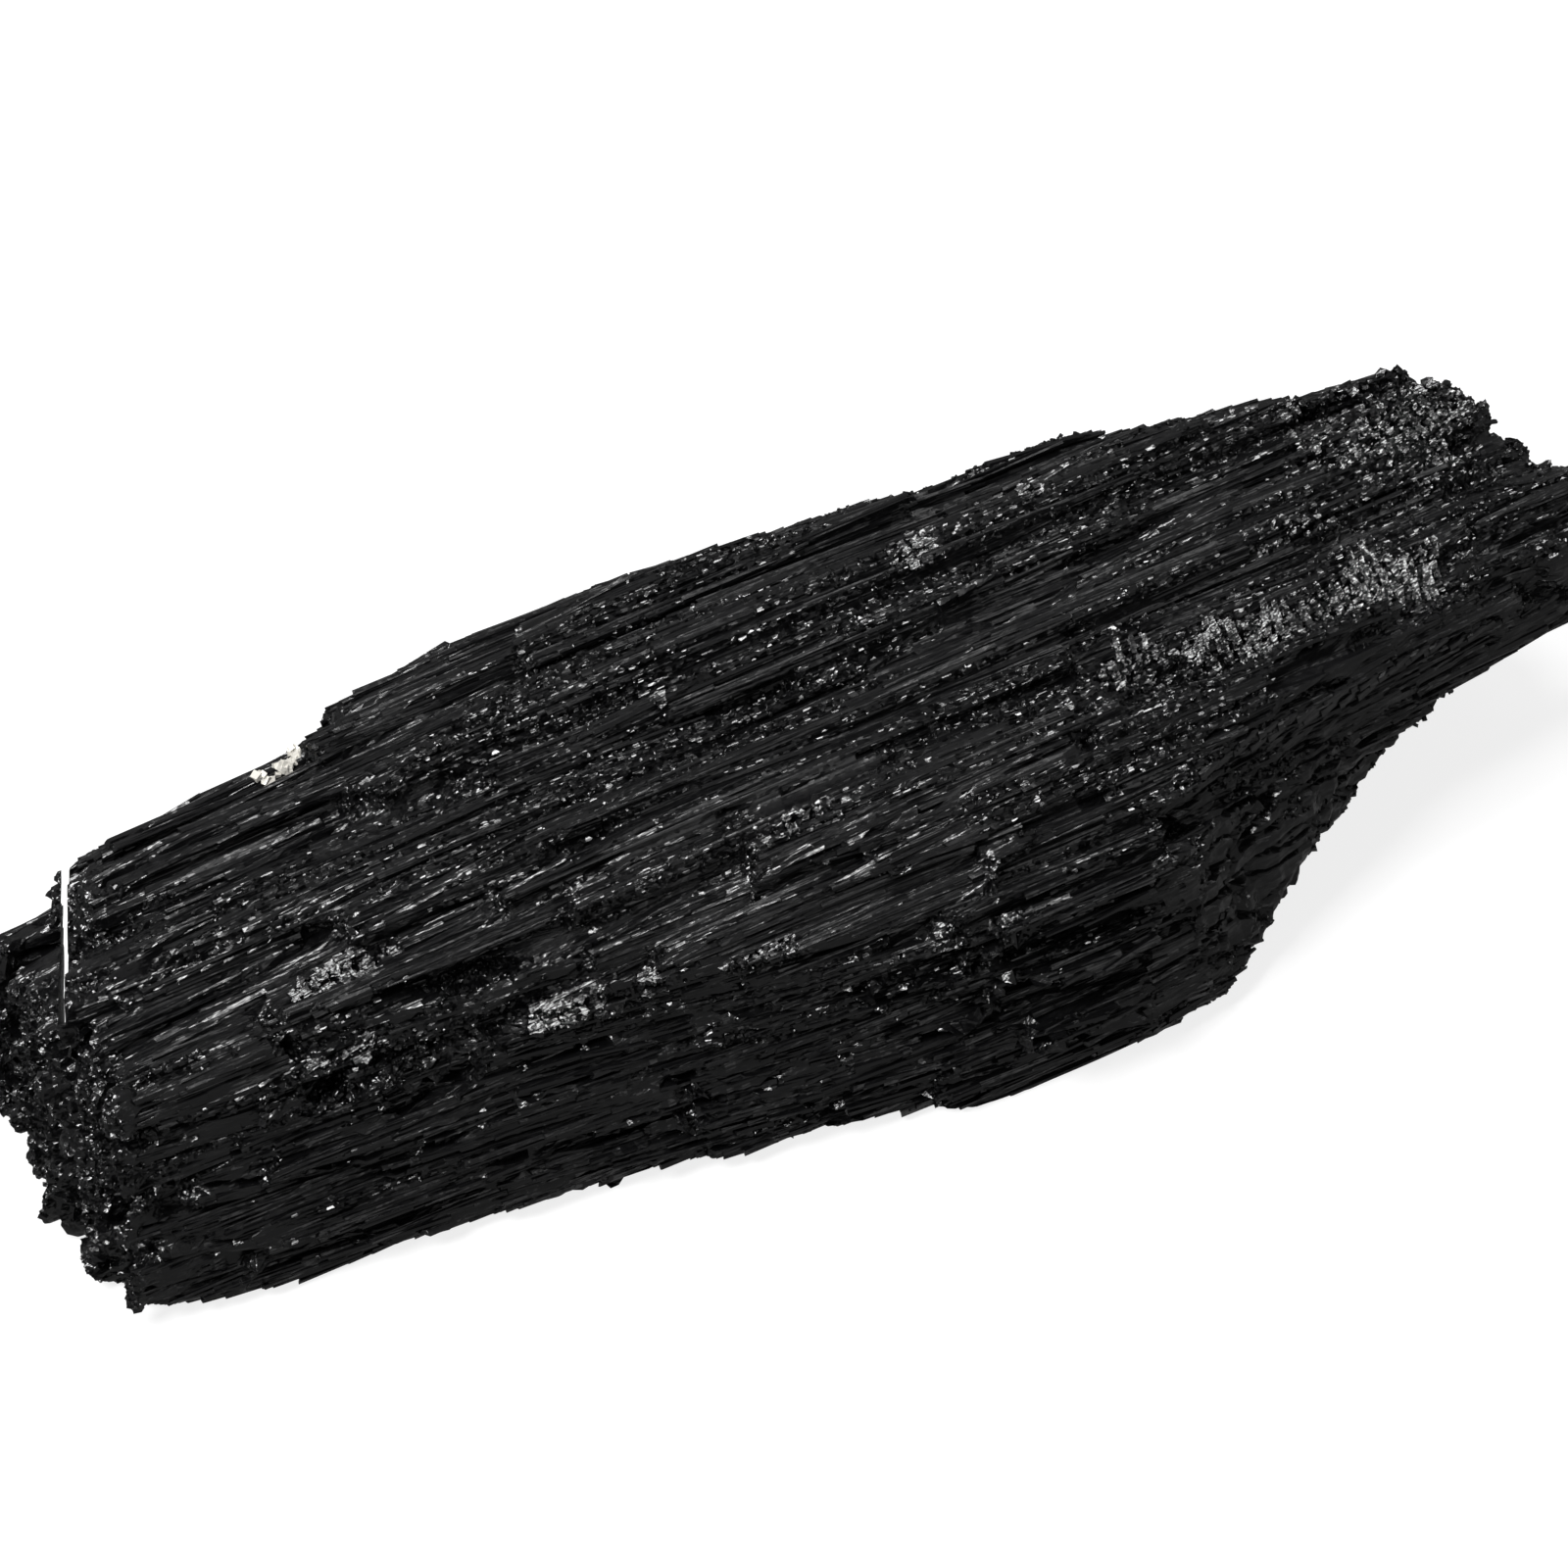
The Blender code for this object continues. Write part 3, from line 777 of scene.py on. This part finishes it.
# A grain's corners are drawn in or out to between these shares of their reach.
CHIP_CORNERS = (0.8, 1.1)


def chip():
    """A small block with no two faces square to each other."""
    bm = bmesh.new()
    bmesh.ops.create_cube(bm, size=2.0)
    for vert in bm.verts:
        vert.co *= rng.uniform(*CHIP_CORNERS)
    bmesh.ops.triangulate(bm, faces=bm.faces)
    return bm


def grain_place(centre, facing, along, size):
    """Where a grain sits: its middle, the way its top face looks, the way it lies and its half-sizes."""
    facing = facing.normalized()
    side = facing.cross(along).normalized()
    turn = Matrix((side.cross(facing), side, facing)).transposed().to_4x4()
    return Matrix.Translation(centre) @ turn @ Matrix.Diagonal((*[half * MM for half in size], 1.0))


def any_way():
    """A random direction."""
    return Vector([rng.gauss(0.0, 1.0) for _ in range(3)])


places = []
crumbly = []
pale = []
while len(places) < GRAINS:
    middle, normal = any_facet()
    spot = middle / MM
    patch = on_patch(spot, SUGARY)
    sugar = max(patch, broken(spot, normal))
    if rng.random() > sugar * (1.0 - on_patch(spot, SHELL)):
        continue
    rippled = on_patch(spot, RIPPLED)
    rippling = RIPPLES * share(noise.noise(spot / RIPPLE_CLUSTER), -RIPPLE_GAP, RIPPLE_GAP)
    radius = rng.uniform(*GRAIN_RADIUS)
    centre = middle - normal * radius * GRAIN_SUNK * MM
    if centre.z < radius * GRAIN_CORNER * MM or near_cleft(spot, 2.0 * radius + CLEFT_WIDTH[0]):
        continue
    size = (radius, radius * rng.uniform(*GRAIN_SLIM), radius * rng.uniform(*GRAIN_SLIM))
    facing = any_way()
    along = any_way()
    roughened = 1.0
    if on_patch(spot, BRIGHT) > ON_BRIGHT:
        facing = GLINT + BRIGHT_SPREAD * any_way()
        size = [BRIGHT_LARGER * half for half in size]
        roughened = 0.0
    elif rippled > ON_PATCH and rng.random() < rippling:
        facing = GLINT + Vector((rng.gauss(0.0, RIPPLE_ROCK), 0.0, 0.0)) + RIPPLE_SPREAD * any_way()
        along = RIPPLE_WAY + RIPPLE_WAY_SPREAD * any_way()
        size = (radius * RIPPLE_LONG, radius * RIPPLE_WIDE, radius)
        roughened = ALIKE_ROUGH
    elif patch > ON_PATCH and rng.random() < ALIKE:
        facing = GLINT + ALIKE_SPREAD * any_way()
        roughened = ALIKE_ROUGH
    elif spot.x < EVEN_FROM[1] and rng.random() < END_ALIKE:
        facing = GLINT + END_SPREAD * any_way()
        roughened = ALIKE_ROUGH
    places.append(grain_place(centre, facing, along, size))
    crumbly.append(roughened)
    pale.append(0.0)
for _ in range(QUARTZ_GRAINS):
    # Just short of the last point, which has no stretch of its own.
    stretch = rng.uniform(0.0, len(QUARTZ) - 1.001)
    start, end = (Vector(point) for point in QUARTZ[int(stretch):int(stretch) + 2])
    spot = start.lerp(end, stretch % 1.0) + QUARTZ_SPREAD * any_way()
    near, normal, _, _ = skin.find_nearest(spot * MM)
    radius = rng.uniform(*QUARTZ_RADIUS)
    facing = normal + QUARTZ_LEAN * any_way()
    places.append(grain_place(near, facing, any_way(), (radius, radius, QUARTZ_FLAT * radius)))
    crumbly.append(0.0)
    pale.append(1.0)
grains = joined("grains", chip(), places, {"sugary": crumbly, "quartz": pale})
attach(grains, "root")
grains.data.materials.append(schorl)

# ---------------------------------------------------------------------------------------------------------
# Bead rows. On some of the log's faces the striae have grown as rows of fine beads of black tourmaline, a
# little longer than they are wide, which sit on the face.
# ---------------------------------------------------------------------------------------------------------

BEADS = 14000
BEAD_RADIUS = (0.06, 0.13)
BEAD_LONG = (1.0, 2.5)
# A bead's middle is this share of its radius above the skin, and it lies along the log but for this sway.
BEAD_RAISED = 0.6
BEAD_SWAY = 0.5
BEAD_ROUGH = 0.6

places = []
while len(places) < BEADS:
    middle, normal = any_facet()
    spot = middle / MM
    if rng.random() > beaded(spot) or broken(spot, normal) > ON_PATCH or on_patch(spot, SMOOTH) > ON_PATCH:
        continue
    radius = rng.uniform(*BEAD_RADIUS)
    centre = middle + normal * radius * BEAD_RAISED * MM
    if centre.z < 2.0 * radius * MM or near_cleft(spot, 2.0 * radius + CLEFT_WIDTH[0]):
        continue
    size = (radius * rng.uniform(*BEAD_LONG), radius, radius)
    facing = any_way()
    along = Vector((1.0, 0.0, 0.0)) + BEAD_SWAY * any_way()
    places.append(grain_place(centre, facing, along, size))
bead_rows = joined("bead_rows", chip(), places, {"sugary": np.full(len(places), BEAD_ROUGH)})
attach(bead_rows, "root")
bead_rows.data.materials.append(schorl)

# ---------------------------------------------------------------------------------------------------------
# The studio: a sheet of plain white paper that glows a little, so that only soft shade shows on it, square
# soft lights whose glints the crystal's facets throw back, and a camera that looks down on it from the front.
# ---------------------------------------------------------------------------------------------------------

# The paper's width in metres, and how strongly it glows.
FLOOR = 6.0
GLOW = 0.82
# The camera's bearing and height, the place that it looks at, and how wide its view is there.
TURN = math.radians(-30.98)
RISE = math.radians(45.0)
AIM = Vector((-5.7, -5.3, 23.6)) * MM
VIEW_WIDTH = 100.0 * MM
LENS = 600.0
SENSOR = 36.0
FAR_CLIP = 100.0
# The lights' bearings and heights in degrees, their widths in metres and their power. All are this far off.
LIGHT_DISTANCE = 0.8
LIGHTS = {
    "overhead": (180.0, 82.0, 0.2, 3.6),
    "side": (-75.0, 50.0, 0.25, 7.0),
    "front": (23.0, 23.0, 0.3, 0.2),
    "far": (104.0, 66.0, 0.2, 0.2),
}
# The even light from all around.
DAYLIGHT = 0.165


def looking_in(turn, rise, distance):
    """Where something stands that looks at the log from a bearing, a height and a distance."""
    turned = Matrix.Rotation(turn, 4, "Z") @ Matrix.Rotation(math.pi / 2 - rise, 4, "X")
    return Matrix.Translation(AIM) @ turned @ Matrix.Translation((0.0, 0.0, distance))


bpy.ops.mesh.primitive_plane_add(size=FLOOR)
floor = bpy.context.object
floor.name = "floor"
paper = bpy.data.materials.new("white_paper")
paper.use_nodes = True
sheet = paper.node_tree.nodes["Principled BSDF"]
sheet.inputs["Base Color"].default_value = linear("#8c8c8c")
sheet.inputs["Roughness"].default_value = 1.0
sheet.inputs["Specular IOR Level"].default_value = 0.0
sheet.inputs["Emission Color"].default_value = linear("#ffffff")
sheet.inputs["Emission Strength"].default_value = GLOW
floor.data.materials.append(paper)
floor.visible_glossy = False
floor.visible_diffuse = False

lens = bpy.data.cameras.new("camera")
lens.lens = LENS
lens.sensor_width = SENSOR
lens.clip_end = FAR_CLIP
camera = bpy.data.objects.new("camera", lens)
camera.matrix_world = looking_in(TURN, RISE, VIEW_WIDTH * LENS / SENSOR)
bpy.context.scene.collection.objects.link(camera)
bpy.context.scene.camera = camera

for name, (turn, rise, width, power) in LIGHTS.items():
    light = bpy.data.lights.new(name, "AREA")
    light.shape = "SQUARE"
    light.size = width
    light.energy = power
    softbox = bpy.data.objects.new(name, light)
    softbox.matrix_world = looking_in(math.radians(turn), math.radians(rise), LIGHT_DISTANCE)
    bpy.context.scene.collection.objects.link(softbox)

world = bpy.data.worlds.new("studio")
world.use_nodes = True
sky = world.node_tree.nodes["Background"]
sky.inputs["Color"].default_value = linear("#ffffff")
sky.inputs["Strength"].default_value = DAYLIGHT
bpy.context.scene.world = world
bpy.context.scene.view_settings.view_transform = "Standard"
